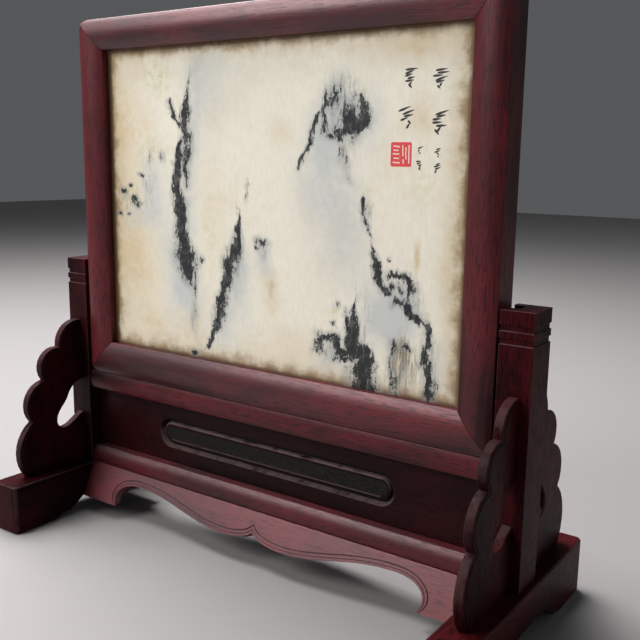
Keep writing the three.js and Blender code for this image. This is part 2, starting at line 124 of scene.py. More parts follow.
class Wire:
    """A value in a shader: arithmetic on it adds Math nodes."""

    def __init__(self, shader, socket):
        self.shader = shader
        self.socket = socket

    def math(self, operation, *values):
        return self.shader.node("ShaderNodeMath", {"operation": operation}, values)

    def __add__(self, other):
        return self.math("ADD", self, other)

    def __radd__(self, other):
        return self.math("ADD", other, self)

    def __sub__(self, other):
        return self.math("SUBTRACT", self, other)

    def __rsub__(self, other):
        return self.math("SUBTRACT", other, self)

    def __mul__(self, other):
        return self.math("MULTIPLY", self, other)

    def __rmul__(self, other):
        return self.math("MULTIPLY", other, self)

    def __truediv__(self, other):
        return self.math("DIVIDE", self, other)

    def __abs__(self):
        return self.math("ABSOLUTE", self)

    def scaled(self, factor, offset):
        return self.math("MULTIPLY_ADD", self, factor, offset)

    def top(self, other):
        return self.math("MAXIMUM", self, other)

    def low(self, other):
        return self.math("MINIMUM", self, other)

    def clamp(self):
        return self.shader.node("ShaderNodeClamp", {}, [self])

    def step(self, low, high):
        """Smooth step from 0 at low to 1 at high."""
        options = {"interpolation_type": "SMOOTHSTEP", "clamp": False}
        ranges = {"Value": self, "From Min": low, "From Max": high}
        return self.shader.node("ShaderNodeMapRange", options, ranges)


class Shader:
    """A material while its nodes are added."""

    def __init__(self, name):
        self.material = bpy.data.materials.new(name)
        self.material.use_nodes = True
        self.tree = self.material.node_tree
        self.surface = self.tree.nodes["Principled BSDF"]

    def node(self, kind, options=None, inputs=(), output=0):
        made = self.tree.nodes.new(kind)
        for key, value in (options or {}).items():
            setattr(made, key, value)
        pairs = inputs.items() if isinstance(inputs, dict) else enumerate(inputs)
        for key, value in pairs:
            self.feed(made.inputs[key], value)
        return Wire(self, made.outputs[output])

    def feed(self, socket, value):
        if isinstance(value, Wire):
            self.tree.links.new(value.socket, socket)
        else:
            socket.default_value = value

    def finish(self, **inputs):
        for name, value in inputs.items():
            self.feed(self.surface.inputs[name.replace("_", " ")], value)
        return self.material

    def millimetres(self, stretch=(1, 1, 1), shift=(0, 0, 0)):
        """Object coordinates in millimetres, each axis scaled by its stretch."""
        place = self.node("ShaderNodeTexCoord", output="Object")
        scale = [s / MM for s in stretch]
        return self.node("ShaderNodeMapping", {"vector_type": "POINT"}, {0: place, 1: shift, 3: scale})

    def noise(self, place, size, detail=3.0, roughness=0.55, distortion=0.0, output=0):
        """Noise whose features are about size millimetres across."""
        values = {
            "Vector": place,
            "Scale": 1.0 / size,
            "Detail": detail,
            "Roughness": roughness,
            "Distortion": distortion,
        }
        return self.node("ShaderNodeTexNoise", {}, values, output)

    def mix(self, factor, a, b):
        """Colour a where the factor is 0, and b where it is 1."""
        return self.node("ShaderNodeMix", {"data_type": "RGBA"}, {0: factor, 6: rgba(a), 7: rgba(b)}, 2)

    def vector(self, operation, *values, output=0):
        return self.node("ShaderNodeVectorMath", {"operation": operation}, values, output)

    def ramp(self, factor, stops):
        """Colour ramp over the factor; each stop is a place from 0 to 1 and three values."""
        bands = self.node("ShaderNodeValToRGB", {}, [factor])
        elements = bands.socket.node.color_ramp.elements
        while len(elements) < len(stops):
            elements.new(0.5)
        for element, (spot, _) in zip(elements, stops):
            element.position = spot
        for element, (_, values) in zip(elements, stops):
            element.color = (*values, 1.0)
        return bands

    def channels(self, value):
        parts = self.node("ShaderNodeSeparateColor", {}, [value])
        return [Wire(self, output) for output in parts.socket.node.outputs[:3]]

    def axes(self, value):
        """The x, y and z of a vector."""
        parts = self.node("ShaderNodeSeparateXYZ", {}, [value])
        return [Wire(self, output) for output in parts.socket.node.outputs]

    def across_and_up(self, place):
        """Place's x and z as shares of the part of the slab that the ramps cover."""
        from_corner = self.vector("SUBTRACT", place, SLAB_LOW)
        x, _, z = self.axes(self.vector("DIVIDE", from_corner, SLAB_SIZE + Vector((0, 1, 0))))
        return x, z

    def bump(self, height, depth, strength=1.0):
        """Normal from a height that is 1 at its highest, for a relief of depth millimetres."""
        values = {"Strength": strength, "Distance": depth * MM, "Height": height}
        return self.node("ShaderNodeBump", {}, values)


def rgba(value):
    return value if isinstance(value, Wire) else (*value, 1.0)


def rosewood(name, grain, depth=1.0, gloss=1.0, shift=0.0, paling=0.0, board=None, cuts=()):
    """Polished rosewood with fine dark pores; grain is the axis (0, 1, 2) that its fibres follow.

    Paling paints a highlight on the upward-facing arrises, and on a board, whose faces look along that axis,
    on its rims as well.
    Each cut is a direction and a level in millimetres: faces that look that way from below it are darkened
    as painted shade, as in grooves and sunk floors.
    """
    wood = settings("screen_wood")
    shader = Shader(name)
    offset = (shift, shift * 0.7, shift * 1.3)

    def stretched(ratio):
        return shader.millimetres([ratio if axis == grain else 1.0 for axis in range(3)], offset)

    flow = shader.noise(stretched(0.03), size=9.0, detail=3.0, roughness=0.5, distortion=0.4)
    fibre = shader.noise(stretched(0.03), size=1.0, detail=5.0, roughness=0.66)
    cloud = shader.noise(stretched(0.35), size=34.0, detail=2.0, roughness=0.5)
    pores = shader.noise(stretched(0.09), size=0.75, detail=2.0, roughness=0.5).step(0.53, 0.62)
    streaks = (flow * 0.55 + fibre * 0.6).step(0.47, 0.68)
    heart = [c * depth for c in wood.heart]
    dark = [c * depth for c in wood.streak]
    blush = [c * depth for c in wood.blush]
    colour = shader.mix(streaks, dark, heart)
    colour = shader.mix(cloud.step(0.36, 0.66) * (0.35 + fibre), colour, blush)
    colour = shader.mix(pores * 0.8, colour, dark)
    rub = shader.noise(shader.millimetres(shift=offset), size=9.0, detail=5.0, roughness=0.65)
    # Painted highlight on upward-facing arrises and board rims, broken up by noise
    if paling:
        edge_highlight = highlight_places(shader, board) * rub.step(0.30, 0.55) * paling
        colour = shader.mix(edge_highlight, colour, wood.edge_highlight)
    rough = 0.27 + fibre * 0.16 + rub * 0.18 + pores * 0.12
    relief = fibre * 0.5 - pores * 0.6
    # Painted shade: sunk faces are darkened towards the near-black cut ground, with a punched relief
    if cuts:
        sunk = 0.0
        for out, level in cuts:
            sunk = sunk_faces(shader, out, level).top(sunk)
        punched = shader.noise(shader.millimetres(shift=offset), size=1.3, detail=3.0, roughness=0.7)
        ground = shader.mix(punched.step(0.4, 0.6), wood.cut, [c * 3 for c in wood.cut])
        colour = shader.mix(sunk * 0.9, colour, ground)
        rough = rough + sunk * 0.25
        relief = relief + sunk * punched * 1.5
    return shader.finish(
        Base_Color=colour,
        Roughness=rough,
        Specular_IOR_Level=min(0.45 * gloss, 1.0),
        Specular_Tint=rgba(wood.sheen),
        Coat_Weight=min(0.14 * gloss, 0.3),
        Coat_Roughness=0.28,
        Normal=shader.bump(relief, depth=0.06, strength=0.6),
    )


def highlight_places(shader, board):
    """Where a painted highlight pales the polish: upward-facing slanting arrises, and the rims of a board.
    """
    normal = shader.node("ShaderNodeNewGeometry", output="Normal")
    upward = shader.vector("DOT_PRODUCT", normal, (0, 0, 1), output=1).step(-0.45, 0.15)
    x, y, z = shader.axes(shader.vector("ABSOLUTE", normal))
    arris = x.top(y).top(z).step(0.98, 0.86)
    if board is None:
        return arris * upward
    rim = (x, y, z)[board].step(0.9, 0.5)
    return arris.top(rim) * upward


def sunk_faces(shader, out, level):
    """Faces that look along out from under a plane square to it, level millimetres from the origin, which
    get painted shade.
    """
    normal = shader.node("ShaderNodeNewGeometry", output="Normal")
    facing = shader.vector("DOT_PRODUCT", normal, out, output=1)
    height = shader.vector("DOT_PRODUCT", shader.millimetres(), out, output=1)
    return facing.step(0.86, 0.97) * height.step(level, level - 0.15)


# Veins that run down the slab, from the top: (z, x, half width, darkness), in millimetres on its face
VEINS = {
    "left_fork": [
        (307, -82.5, 0.8, 0),
        (304, -81.5, 1.6, 0.8),
        (295, -78.5, 1.8, 0.85),
        (289, -73.5, 2.0, 0.8),
        (282, -71.5, 2.2, 0.6),
        (273, -74.5, 2.6, 0.9),
        (264, -74.5, 3.8, 1),
        (254, -76.5, 3.4, 1),
        (246, -77.5, 4.2, 1),
        (239, -75, 5.4, 1),
        (228, -73.6, 4.6, 1),
        (218, -73, 4.6, 1),
        (208, -70.5, 6.2, 1),
        (198, -68.8, 8.2, 1),
        (190, -67.6, 6.8, 1),
        (183, -65.5, 5.0, 0.7),
        (177, -63, 3.0, 0.5),
        (168, -61.6, 2.6, 0.5),
        (158, -62.4, 3.0, 0.5),
        (152, -63.5, 2.2, 0.4),
        (149, -64, 1.6, 0),
    ],
    "left_branch": [
        (331, -64.2, 0.5, 0),
        (322, -64.6, 0.8, 0.5),
        (312, -65.2, 1.2, 0.7),
        (305, -65.8, 2.2, 0.9),
        (297, -67.2, 3.8, 1),
        (288, -69.2, 3.6, 0.9),
        (281, -67.6, 4.0, 0.85),
        (270, -66.8, 4.2, 0.72),
        (258, -67.6, 3.4, 0.75),
        (248, -68, 2.6, 0.6),
        (244, -68.4, 1.8, 0),
    ],
    "middle": [
        (244, -22.4, 0.4, 0),
        (236, -22.5, 1.0, 0.6),
        (226, -22.3, 1.6, 0.8),
        (216, -22.6, 3.0, 0.85),
        (209, -25.4, 4.6, 0.95),
        (200, -28.8, 4.4, 1),
        (191, -30.2, 4.0, 1),
        (185, -32.6, 4.4, 0.9),
        (177, -37.4, 3.6, 0.95),
        (168, -39.4, 3.6, 1),
        (159, -41.6, 3.4, 1),
        (151, -43.8, 2.2, 1),
        (145, -46.6, 2.6, 1),
        (140, -50, 2.6, 1),
        (137, -52, 1.6, 0),
    ],
    "middle_shade": [
        (216, -19.5, 1.6, 0),
        (206, -22.6, 3.0, 0.6),
        (192, -26.6, 2.6, 0.55),
        (180, -31.6, 3.2, 0.62),
        (170, -34.8, 3.2, 0.62),
        (160, -38.6, 1.6, 0),
    ],
    "ridge_left": [
        (311, 46.4, 0.9, 0),
        (305, 45.6, 2.2, 0.9),
        (298, 44, 1.9, 0.8),
        (291, 43.6, 2.0, 0.85),
        (284, 45.4, 3.0, 0.8),
        (279, 46, 2.2, 0),
    ],
    "slope_left": [
        (300, 43, 0.8, 0),
        (293, 40.6, 1.5, 0.8),
        (283, 36.6, 2.0, 0.85),
        (276, 33, 1.9, 0.95),
        (270, 29.8, 1.3, 0.85),
        (264, 27.7, 1.6, 0.95),
        (259, 27, 1.0, 0),
    ],
    "ridge_middle": [
        (317, 54, 2.2, 0),
        (309, 53, 4.6, 0.62),
        (301, 51.6, 4.4, 0.66),
        (292, 51.5, 3.4, 0.35),
        (285, 54.4, 4.4, 0.75),
        (280, 57, 3.8, 0.7),
        (275, 59, 2.8, 0.5),
        (268, 59.6, 3.2, 0.56),
        (262, 61, 2.6, 0.42),
        (254, 66, 2.0, 0.3),
        (249, 69, 1.5, 0),
    ],
    "ridge_right": [
        (307, 71.6, 0.8, 0),
        (303, 71.8, 2.2, 1),
        (297, 73, 4.0, 1),
        (290, 72.2, 4.4, 1),
        (284, 69.4, 4.6, 1),
        (279, 66, 3.0, 0),
        (250, 73, 0.8, 0),
        (246, 74, 1.6, 0.7),
        (238, 74.8, 2.4, 0.66),
        (231, 76, 2.0, 0.8),
        (225, 78.4, 1.5, 0.7),
        (220, 79.6, 1.1, 0.4),
        (214, 81.4, 1.8, 0.9),
        (204, 83.8, 2.2, 0.95),
        (196, 86.4, 2.8, 1),
        (191, 90.6, 3.8, 1),
        (188, 93, 3.0, 0),
    ],
    "cliff_right": [
        (205, 98, 1.5, 0),
        (202, 104, 4.2, 0.85),
        (196, 107.6, 4.0, 0.85),
        (191, 106, 3.6, 0.5),
        (185, 106, 5.0, 0.9),
        (179, 111, 4.4, 1),
        (174, 117.2, 2.6, 0.9),
        (166, 119.2, 2.0, 0.7),
        (160, 117, 3.2, 0.9),
        (152, 118, 3.6, 0.85),
        (145, 121.2, 3.2, 0.85),
        (136, 121, 3.0, 0.75),
        (130, 120.6, 3.0, 0.7),
    ],
    "trunk": [
        (190, 70, 0.4, 0),
        (184, 69.8, 1.2, 0.8),
        (179, 69.2, 2.8, 1),
        (171, 68, 5.0, 1),
        (163, 67.6, 5.4, 1),
        (156, 68.6, 6.0, 1),
        (150, 68.8, 5.0, 1),
        (147.5, 70, 3.0, 0),
    ],
    "root": [
        (161, 74.8, 1.2, 0),
        (157, 76, 4.4, 1),
        (150, 77.6, 5.4, 1),
        (143, 74.8, 7.8, 1),
        (136, 75.6, 8.4, 1),
        (130, 76, 8.8, 1),
    ],
    "boulder_left": [
        (167, 95, 0.8, 0),
        (164, 95.2, 1.4, 0.85),
        (158, 96.4, 2.4, 0.75),
        (151, 94.8, 2.2, 0.6),
        (143, 97, 2.4, 0.7),
        (134, 97.8, 2.4, 0.7),
        (130, 98, 2.4, 0.7),
    ],
}
# Blots and specks: (x, z, half width, half height, darkness)
BLOTS = [
    (64.2, 288.0, 5.8, 9.4, 1),
    (51.0, 282, 6.0, 2.4, 0.8),
    (56.5, 284.5, 4.0, 4.0, 0.8),
    (52.5, 304, 3.0, 8.0, 0.75),
    (57, 307, 1.8, 7.0, 0.65),
    (66.5, 303, 1.4, 7.0, 0.65),
    (94, 195, 5.0, 3.0, 0.85),
    (97, 202.8, 6.4, 2.0, 0.95),
    (99, 187.5, 4.4, 2.2, 0.85),
    (101, 194, 3.4, 3.0, 0.7),
    (92.9, 212, 1.3, 1.3, 1),
    (-67, 200, 4, 5, 0.9),
    (-56, 200.5, 2.4, 2.4, 0.85),
    (-14.6, 248, 1.0, 6.5, 0.6),
    (-36.2, 166.5, 2.4, 2.0, 0.9),
    (-2.5, 215, 4.6, 2.4, 0.85),
    (-6.6, 211.5, 1.2, 1.4, 0.8),
    (0.6, 210, 2.0, 2.4, 0.6),
    (44, 157, 3.4, 4.4, 0.95),
    (50, 161, 7.0, 2.6, 0.95),
    (55.6, 158, 3.4, 5.0, 1),
    (60, 152.5, 6.0, 3.6, 1),
    (45, 151.6, 4.6, 2.2, 0.9),
    (62, 148.2, 7.0, 2.0, 0.95),
    (63.4, 176, 2.0, 4.0, 0.9),
    (55.2, 182, 2.0, 2.2, 0.8),
    (53.5, 170, 1.4, 1.6, 0.8),
    (81, 142, 2.2, 5.0, 0.9),
    (104.4, 161.6, 4.6, 1.8, 0.75),
    (104, 146, 2.0, 7.0, 0.6),
    (-62.5, 134.6, 3.4, 2.2, 0.9),
    (-129, 241.5, 2.6, 3.2, 1),
    (-119, 237.5, 3.0, 2.2, 1),
    (-114.4, 234.6, 2.6, 2.2, 1),
    (-133.5, 228, 2.0, 1.8, 0.9),
    (-124.5, 229, 1.8, 1.6, 0.9),
    (-122.2, 248, 1.4, 1.4, 1),
    (-110.8, 255.5, 1.8, 1.4, 0.9),
    (-102, 267, 1.6, 2.8, 0.8),
    (-91.4, 267.6, 1.8, 3.0, 0.7),
    (-81, 265, 1.6, 1.4, 0.7),
]
# Soft clouds of the grey wash, and below of the other tints: x and z of the middle, half sizes, strength
GREY_CLOUDS = [
    (-48, 320, 22, 56, 0.55),
    (-58, 322, 8, 50, 0.45),
    (-24, 320, 56, 34, 0.16),
    (-64, 262, 12, 44, 0.45),
    (-102, 246, 12, 28, 0.75),
    (-116, 226, 22, 14, 0.60),
    (-92, 236, 18, 40, 0.40),
    (-84, 188, 14, 50, 0.45),
    (-66, 172, 16, 30, 0.75),
    (-22, 184, 16, 40, 0.60),
    (-40, 148, 18, 20, 0.40),
    (0, 205, 10, 16, 0.85),
    (44, 252, 26, 40, 0.85),
    (48, 282, 18, 22, 0.95),
    (56, 302, 15, 20, 0.95),
    (64, 230, 18, 40, 0.55),
    (76, 290, 12, 24, 0.60),
    (60, 206, 32, 28, 0.30),
    (88, 182, 18, 28, 0.80),
    (104, 182, 14, 18, 0.70),
    (52, 148, 16, 16, 0.75),
    (124, 150, 9, 20, 0.65),
    (-64, 276, 9, 30, 0.50),
    (-64, 222, 10, 34, 0.50),
    (-78, 196, 10, 26, 0.60),
    (-70, 180, 10, 18, 0.60),
    (-22, 198, 9, 30, 0.60),
    (-34, 164, 9, 22, 0.60),
    (94, 176, 22, 18, 0.80),
]
TAN_CLOUDS = [
    (-132, 270, 34, 90, 0.75),
    (-118, 190, 34, 50, 0.85),
    (-88, 148, 60, 20, 0.45),
    (-44, 222, 14, 50, 0.30),
    (12, 284, 12, 12, 0.45),
    (112, 290, 10, 16, 0.40),
    (110, 330, 50, 14, 0.60),
    (4, 186, 9, 22, 0.50),
    (26, 150, 46, 16, 0.45),
    (133, 220, 14, 90, 0.45),
    (110, 215, 3.5, 10, 1.2),
]
# The boulder's brown grey body and other dusky places
DUSK_CLOUDS = [
    (101, 149, 12, 20, 1.5),
    (99, 160, 9, 8, 0.9),
    (119, 148, 8, 18, 0.5),
    (-62, 156, 4, 14, 0.5),
    (3, 186, 3, 7, 0.45),
]
MOSS_CLOUDS = [
    (-93, 320, 16, 14, 1.0),
    (-100, 272, 16, 8, 0.6),
    (-61, 158, 5, 12, 0.8),
    (70, 300, 5, 12, 0.8),
    (75, 243, 5, 9, 0.9),
    (112, 256, 12, 20, 0.4),
    (118, 176, 5, 10, 0.9),
    (55, 180, 5, 5, 0.8),
    (-48, 216, 6, 30, 0.4),
]
# Places where the stone is combed with short upright dark streaks
HATCHES = [
    (58, 300, 17, 19, 1.0),
    (64, 288, 12, 14, 0.5),
    (101, 148, 12, 22, 1.3),
    (50, 155, 13, 11, 0.7),
    (119, 150, 8, 24, 0.8),
    (104, 190, 13, 16, 0.7),
    (-69, 266, 8, 40, 0.6),
    (-70, 205, 9, 22, 0.5),
    (-30, 192, 11, 28, 0.7),
    (-40, 162, 8, 18, 0.6),
    (-122, 238, 18, 12, 0.7),
    (-104, 258, 9, 22, 0.5),
    (-1, 212, 7, 8, 0.9),
    (75, 238, 5, 14, 0.7),
    (72, 165, 12, 34, 0.6),
]
# Width of the frame's face beside the slab
STILE_FACE = 21.6
# Low corner and size of the part of the slab that the veins' ramps cover
SLAB_LOW = Vector((-142, 0, 132))
SLAB_SIZE = Vector((284, 0, 208))
# Half width that a full value in a vein's ramp stands for
WIDEST_VEIN = 10.0
# How far a vein's soft shade reaches, in its half widths
SHADE_REACH = 2.2


def run_down(shader, across, height, points, field):
    """Darkness with a vein added; its middle, width and darkness come from a ramp over the height."""
    stops = [
        ((z - SLAB_LOW.z) / SLAB_SIZE.z, (x - SLAB_LOW.x) / SLAB_SIZE.x, half / WIDEST_VEIN, dark)
        for z, x, half, dark in reversed(points)
    ]
    bands = shader.ramp(height, [(max(stop[0], 0.0), stop[1:]) for stop in stops])
    middle, half, dark = shader.channels(bands)
    away = abs(across - middle) / half
    return (away.scaled(-SLAB_SIZE.x / WIDEST_VEIN / SHADE_REACH, 1.0) * dark).top(field)


def blots(shader, place, spots, field):
    """Darkness with round blots added to it."""
    for x, z, half_x, half_z, dark in spots:
        near = shader.vector("SUBTRACT", place, (x, 0, z))
        scaled = shader.vector("MULTIPLY", near, (1 / half_x, 0, 1 / half_z))
        field = shader.vector("LENGTH", scaled, output=1).scaled(-dark / SHADE_REACH, dark).top(field)
    return field


def bars(shader, place, shapes):
    """Straight bars with round ends: (x, z) of both ends and the half width."""
    field = 0.0
    for x0, z0, x1, z1, half in shapes:
        run = Vector((x1 - x0, 0, z1 - z0))
        from_start = shader.vector("SUBTRACT", place, (x0, 0, z0))
        along = shader.vector("DOT_PRODUCT", from_start, run / run.length_squared, output=1).clamp()
        nearest = shader.node("ShaderNodeVectorMath", {"operation": "SCALE"}, {0: run, 3: along})
        field = shader.vector("DISTANCE", from_start, nearest, output=1).scaled(-1 / half, 1.0).top(field)
    return field


def clouds(shader, place, shapes):
    """Soft blots that add up, each fading out at its half sizes."""
    total = 0.0
    for x, z, half_x, half_z, strength in shapes:
        near = shader.vector("SUBTRACT", place, (x, 0, z))
        scaled = shader.vector("MULTIPLY", near, (1 / half_x, 0, 1 / half_z))
        away = shader.vector("LENGTH", scaled, output=1)
        total = away.step(1.3, 0.0).scaled(strength, total)
    return total


def warped(shader, place, size, reach, detail=3.0, upright=1.0):
    """Place shifted by up to reach millimetres of noise; upright draws the noise out upwards."""
    drawn = shader.vector("MULTIPLY", place, (1, 1, 1 / upright))
    shift = shader.noise(drawn, size, detail, 0.6, output=1)
    centred = shader.vector("SUBTRACT", shift, (0.5, 0.5, 0.5))
    return shader.vector("MULTIPLY_ADD", centred, (2 * reach, 0, 2 * reach), place)


def marble(name):
    """Polished cream marble with ink-like veins, clouds, and stains and a painted frame shadow along the
    frame.
    """
    look = settings("screen_marble")
    shader = Shader(name)
    place = shader.millimetres()
    flat = shader.vector("MULTIPLY", place, (1, 0, 1))
    fine = shader.noise(place, size=5.0, detail=5.0, roughness=0.65)
    bend = warped(shader, flat, size=24.0, reach=9.0)
    combed = shader.noise(shader.millimetres((1, 1, 0.16)), size=1.5, detail=4.0, roughness=0.68)
    colour = clouded_ground(shader, place, bend, fine, combed, look)
    colour = edge_stains_and_shadow(shader, flat, colour, look)
    colour, ink = inked(shader, flat, bend, combed, colour, look)
    rough = 0.24 + fine * 0.14 + ink * 0.08
    normal = shader.bump(fine * 0.4 - ink * 0.3, depth=0.04, strength=0.4)
    return shader.finish(Base_Color=colour, Roughness=rough, Specular_IOR_Level=0.3, Normal=normal)


def clouded_ground(shader, place, bend, fine, combed, look):
    """Cream ground with its tan, mossy, grey and dusky clouds and a fine weave."""
    mottle = shader.noise(place, size=40.0, detail=4.0, roughness=0.6)
    tan = clouds(shader, bend, TAN_CLOUDS) * (0.4 + mottle * 1.2) + mottle.step(0.48, 0.75) * 0.35
    tan = (tan * (0.5 + fine)).clamp()
    colour = shader.mix(tan, look.ground, look.tan)
    moss = clouds(shader, bend, MOSS_CLOUDS) * fine.step(0.42, 0.60)
    colour = shader.mix((moss * 0.7).clamp(), colour, look.moss)
    grey = (clouds(shader, bend, GREY_CLOUDS) * (0.35 + fine * 1.1)).clamp() * 0.95
    colour = shader.mix(grey, colour, look.wash)
    dusk = clouds(shader, bend, DUSK_CLOUDS) * (combed.step(0.36, 0.60) * 0.7 + 0.3)
    colour = shader.mix((dusk * 0.85).clamp(), colour, [c * 0.42 for c in look.tan])
    weave = shader.noise(shader.millimetres((1, 1, 0.35)), size=2.2, detail=4.0, roughness=0.65)
    return shader.mix(weave.step(0.62, 0.40) * 0.22, colour, [c * 0.78 for c in look.ground])


def inked(shader, flat, bend, combed, colour, look):
    """Colour with the veins, their soft shade and the hatching on it, and how far each place is black."""
    swayed = warped(shader, flat, size=13.0, reach=7.0, detail=4.0, upright=1.6)
    crooked = warped(shader, swayed, size=2.4, reach=3.4, detail=5.0, upright=2.6)
    across, height = shader.across_and_up(crooked)
    field = 0.0
    for points in VEINS.values():
        field = run_down(shader, across, height, points, field)
    field = blots(shader, crooked, BLOTS, field)
    ragged = shader.noise(shader.millimetres((1, 1, 0.36)), size=3.2, detail=6.0, roughness=0.74)
    gritty = shader.noise(shader.millimetres((1, 1, 0.5)), size=0.9, detail=4.0, roughness=0.75)
    hatch = clouds(shader, bend, HATCHES) * (combed.step(0.46, 0.58) * ragged.step(0.42, 0.56))
    colour = shader.mix((hatch * 0.8).clamp(), colour, [c * 0.2 for c in look.wash])
    shade = field.step(0.0, 0.62) * (ragged * 1.3 + gritty * 0.5 - 0.1)
    colour = shader.mix(shade.clamp() * 0.8, colour, [c * 0.6 for c in look.wash])
    torn = field + (ragged - 0.5) * 1.3 + (gritty - 0.5) * 0.9
    ink = torn.step(0.49, 0.63) * field.step(0.08, 0.34)
    patch = shader.noise(shader.millimetres((1, 1, 0.6)), size=3.0, detail=5.0, roughness=0.7)
    vein = shader.mix(patch.step(0.47, 0.66) * 0.6, look.vein, [c * 0.24 for c in look.wash])
    return shader.mix(ink * 0.96, colour, vein), ink


def edge_stains_and_shadow(shader, flat, colour, look):
    """Brown stain that creeps in from the frame's sight edges, and a painted shadow of the frame right along
    them.
    """
    low, high = sight_opening()
    spread = shader.vector("ABSOLUTE", shader.vector("SUBTRACT", flat, (low + high) / 2))
    from_side, _, from_end = shader.axes(shader.vector("SUBTRACT", (high - low) / 2, spread))
    creep = shader.noise(flat, size=17.0, detail=5.0, roughness=0.65) - 0.5
    nearest = from_side.low(from_end)
    band = (nearest + creep * 26.0).step(16.0, 1.0)
    colour = shader.mix(band * 0.6, colour, [c * 0.80 for c in look.tan])
    side = (from_side + creep * 22.0).step(7.0, 0.0)
    end = (from_end + creep * 22.0).step(8.0, 0.0)
    colour = shader.mix(side.top(end) * 0.8, colour, look.stain)
    # Painted shadow of the frame: a dark band within about 2.6 mm of the sight edges
    rim = (nearest + creep * 3.0).step(2.6, 0.0)
    return shader.mix(rim * 0.7, colour, [c * 0.35 for c in look.stain])


def sight_opening():
    """Corners of the frame's sight opening on the slab's face, in millimetres."""
    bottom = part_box("frame_bottom_rail")
    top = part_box("frame_top_rail")
    low = Vector((bottom[0][0] / MM + STILE_FACE, 0, bottom[1][2] / MM))
    return low, Vector((-low.x, 0, top[0][2] / MM))


# Modelling

# On the boards, spandrels and seal only edges sharper than this many degrees are rounded
CUT_EDGE = 40.0
# Edges in front of this plane belong to the frame's moulded face
FRAME_FACE_Y = -8 * MM
# Points this near to each other touch
TOUCHING = 0.05 * MM
# A spandrel's face that is at least this thick is its rim, and a thinner one is a groove's wall
RIM_FACE = 5 * MM
# How far under a grooved face the painted shade of the dark ground starts, in millimetres
GROUND_START = 0.12
# The waist panel's front faces get painted shade from here back, as millimetres in front of its middle
RESERVE_START = 1.2
# Top front edge of the front apron in millimetres, and how many degrees its face leans out of the upright
APRON_TOP = Vector((0, -11.9, 36.2))
APRON_LEAN = 25.1


def clear_selection():
    if bpy.context.object and bpy.context.object.mode != "OBJECT":
        bpy.ops.object.mode_set(mode="OBJECT")
    bpy.ops.object.select_all(action="DESELECT")


def activate(piece):
    clear_selection()
    piece.select_set(True)
    bpy.context.view_layer.objects.active = piece


def edit_all(piece):
    activate(piece)
    bpy.ops.object.mode_set(mode="EDIT")
    bpy.ops.mesh.select_all(action="SELECT")


def apply_modifier(piece, kind, **options):
    activate(piece)
    modifier = piece.modifiers.new(kind.title(), kind)
    for key, value in options.items():
        setattr(modifier, key, value)
    bpy.ops.object.modifier_apply(modifier=modifier.name)


def merged_copy(node, name):
    """Copy of a solid, with its triangles merged into whole faces."""
    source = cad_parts[node]
    piece = bpy.data.objects.new(name, source.data.copy())
    bpy.context.scene.collection.objects.link(piece)
    piece.data.materials.clear()
    edit_all(piece)
    bpy.ops.mesh.remove_doubles(threshold=1e-6)
    bpy.ops.mesh.dissolve_limited(angle_limit=math.radians(0.4))
    bpy.ops.object.mode_set(mode="OBJECT")
    return piece


def ease_edges(piece, width_at, angle=28.0):
    """Rounds each sharp edge by the width that width_at gives for it."""
    activate(piece)
    shape = bmesh.new()
    shape.from_mesh(piece.data)
    layer = shape.edges.layers.float.get("bevel_weight_edge") or shape.edges.layers.float.new(
        "bevel_weight_edge"
    )
    widest = 0.0
    widths = []
    for edge in shape.edges:
        sharp = edge.is_manifold and edge.calc_face_angle(0.0) > math.radians(angle)
        width = width_at(edge) if sharp else 0.0
        widths.append(width)
        widest = max(widest, width)
    for edge, width in zip(shape.edges, widths):
        edge[layer] = width / widest
    shape.to_mesh(piece.data)
    shape.free()
    apply_modifier(
        piece,
        "BEVEL",
        width=widest,
        segments=3,
        limit_method="WEIGHT",
        use_clamp_overlap=True,
        miter_outer="MITER_ARC",
    )


def direction(edge):
    return (edge.verts[1].co - edge.verts[0].co).normalized()


def thickness(face):
    across = [corner.co.x for corner in face.verts]
    return max(across) - min(across)


def smooth(piece, angle=32.0):
    activate(piece)
    bpy.ops.object.shade_smooth_by_angle(angle=math.radians(angle))
    apply_modifier(piece, "WEIGHTED_NORMAL", keep_sharp=True, weight=60)


def settle(piece, material, *nodes):
    """Gives a finished piece its finish and its place in the frame."""
    piece.data.materials.clear()
    piece.data.materials.append(material)
    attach(piece, "root")
    if nodes:
        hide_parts(*nodes)


class TABLE_SCREEN_OT_slab(bpy.types.Operator):
    """Finish the marble slab with its veins"""

    bl_idname = "table_screen.slab"
    bl_label = "Marble Slab"

    def execute(self, context):
        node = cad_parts["marble_slab"]
        node.data.materials.clear()
        node.data.materials.append(marble("veined_marble"))
        return {"FINISHED"}


class TABLE_SCREEN_OT_frame(bpy.types.Operator):
    """Model the mitred frame round the slab"""

    bl_idname = "table_screen.frame"
    bl_label = "Frame"

    def execute(self, context):
        wood = settings("screen_wood")
        # Grain's axis, depth of colour, gloss and shift of the figure in millimetres
        members = {
            "frame_top_rail": (0, 0.80, 1.70, 3.0),
            "frame_bottom_rail": (0, 0.80, 1.30, 41.0),
            "frame_left_stile": (2, 0.80, 0.90, 77.0),
            "frame_right_stile": (2, 0.80, 0.80, 113.0),
        }
        for node, (grain, depth, gloss, shift) in members.items():
            piece = merged_copy(node, node + "_moulded")

            def width(edge):
                lengthways = abs(direction(edge)[grain]) > 0.99
                return wood.arris if lengthways and edge.verts[0].co.y < FRAME_FACE_Y else wood.joint

            ease_edges(piece, width)
            smooth(piece)
            settle(piece, rosewood(node + "_wood", grain, depth, gloss, shift), node)
        return {"FINISHED"}


